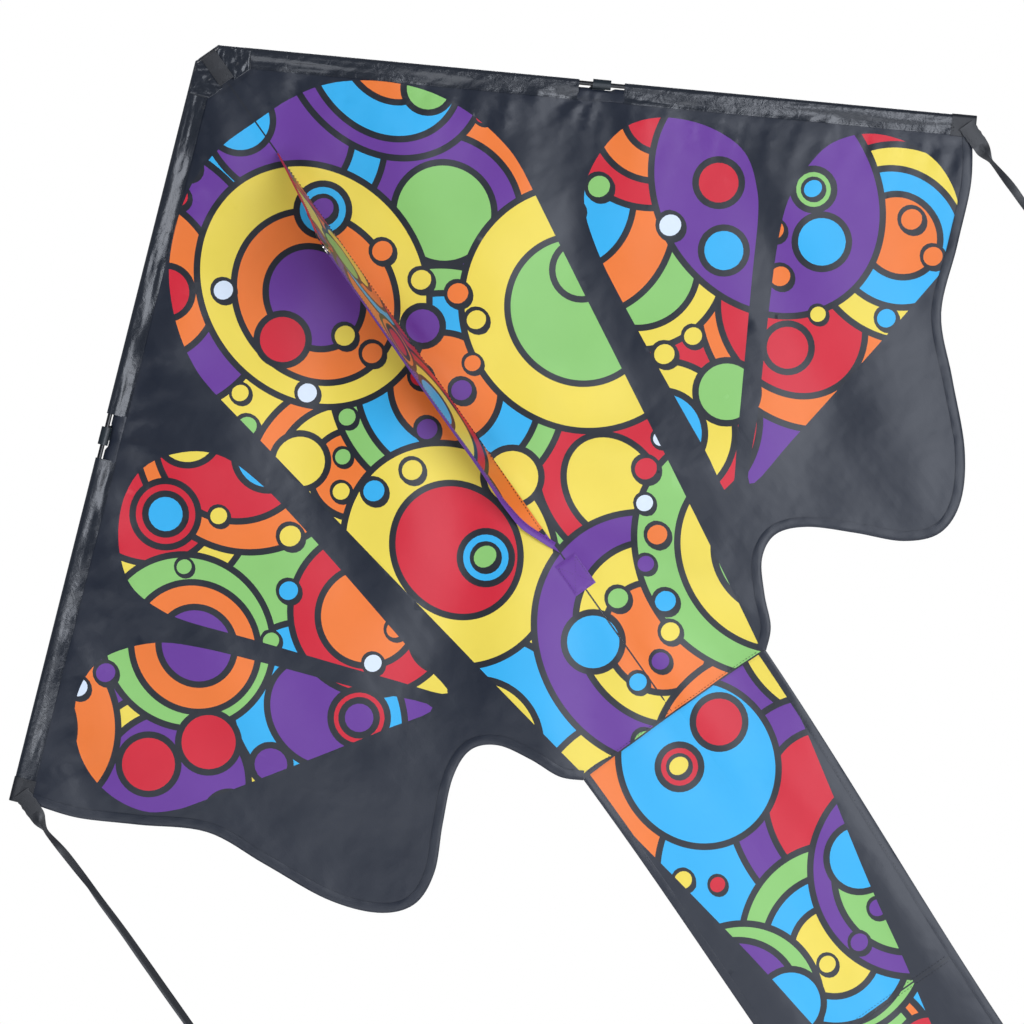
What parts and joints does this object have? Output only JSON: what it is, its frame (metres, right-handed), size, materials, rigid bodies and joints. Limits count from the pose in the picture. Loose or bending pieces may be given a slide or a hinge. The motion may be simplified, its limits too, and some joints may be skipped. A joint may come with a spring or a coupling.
{
  "type": "delta kite",
  "caption": "Tailed delta kite with a printed fabric sail, keel with tow eyelet, sleeved spars, removable spreader, folding wings and ribbon streamers.",
  "frame": {"origin": "point of the nose, in the plane of the sail, where the kite hangs from", "axes": "+Z from the tail towards the nose, +X to the right seen from the keel side, -Y out of the keel side and +Y out of the back"},
  "size_m": [1.1724, 0.1759, 2.286],
  "materials": {
    "sail_cloth": "woven",
    "print_cloth": "woven, printed",
    "edge_tape": "woven tape",
    "ribbon": "woven",
    "rod": "pultruded fibre and resin",
    "vinyl": "moulded, satin",
    "eyelet_metal": "nickel plated"
  },
  "bodies": {
    "centre": {"spine_rod": "rod", "spine_sleeve": "sail_cloth", "spine_strip": "sail_cloth", "spine_end_cap": "vinyl", "spine_pocket_patch": "print_cloth", "nose_cap": "edge_tape", "tail_top_strip": "print_cloth"},
    "keel": {"keel_panel": "print_cloth", "keel_edge_tape": "edge_tape", "tow_patch": "edge_tape", "tow_eyelet": "eyelet_metal"},
    "spreader": {"spreader_rod": "rod", "left_spreader_cap": "vinyl", "right_spreader_cap": "vinyl"},
    "tail_upper": {"tail_middle": "print_cloth"},
    "tail_lower": {"tail_end": "sail_cloth", "tail_end_hem": "sail_cloth"},
    "left_wing": {"left_sail": "sail_cloth", "left_trailing_hem": "sail_cloth", "left_nose_pocket": "edge_tape", "left_upper_sleeve": "sail_cloth", "left_lower_sleeve": "sail_cloth", "left_cutout_binding": "edge_tape", "left_leading_spar": "rod", "left_spar_end_cap": "vinyl", "left_spreader_fitting": "vinyl", "left_tip_tab": "edge_tape", "left_streamer_loop": "edge_tape", "left_tail_top": "print_cloth"},
    "left_ribbon": {"left_streamer": "ribbon"},
    "right_wing": {"right_sail": "sail_cloth", "right_trailing_hem": "sail_cloth", "right_nose_pocket": "edge_tape", "right_upper_sleeve": "sail_cloth", "right_lower_sleeve": "sail_cloth", "right_cutout_binding": "edge_tape", "right_leading_spar": "rod", "right_spar_end_cap": "vinyl", "right_spreader_fitting": "vinyl", "right_tip_tab": "edge_tape", "right_streamer_loop": "edge_tape", "right_tail_top": "print_cloth"},
    "right_ribbon": {"right_streamer": "ribbon"}
  },
  "joints": [
    {"name": "left_wing_fold", "type": "hinge", "parent": "centre", "child": "left_wing", "pos_m": [-0.007, 0, 0], "axis": [0, 0, -1], "range_deg": [0, 80]},
    {"name": "right_wing_fold", "type": "hinge", "parent": "centre", "child": "right_wing", "pos_m": [0.007, 0, 0], "axis": [0, 0, 1], "range_deg": [0, 80]},
    {"name": "spreader_release", "type": "slide", "parent": "centre", "child": "spreader", "axis": [0, 1, 0], "range_m": [0, 0.7]},
    {"name": "keel_swing", "type": "hinge", "parent": "centre", "child": "keel", "pos_m": [0, -0.0016, 0], "axis": [0, 0, 1], "range_deg": [-74, 86]},
    {"name": "tail_upper_fold", "type": "hinge", "parent": "centre", "child": "tail_upper", "pos_m": [0, 0.001, -1.0815], "axis": [1, 0, 0], "range_deg": [-70, 70]},
    {"name": "tail_lower_fold", "type": "hinge", "parent": "tail_upper", "child": "tail_lower", "pos_m": [0, 0.001, -1.5815], "axis": [1, 0, 0], "range_deg": [-60, 60]},
    {"name": "left_streamer_swing", "type": "hinge", "parent": "left_wing", "child": "left_ribbon", "pos_m": [-0.577, -0.0051, -0.514], "axis": [1, 0, 0], "range_deg": [-75, 75]},
    {"name": "right_streamer_swing", "type": "hinge", "parent": "right_wing", "child": "right_ribbon", "pos_m": [0.577, -0.0051, -0.514], "axis": [-1, 0, 0], "range_deg": [-75, 75]}
  ],
  "couplings": [
    {"joint": "right_wing_fold", "follows": "left_wing_fold", "ratio": 1},
    {"joint": "spreader_release", "follows": "left_wing_fold", "m_per_rad": 0.5}
  ]
}
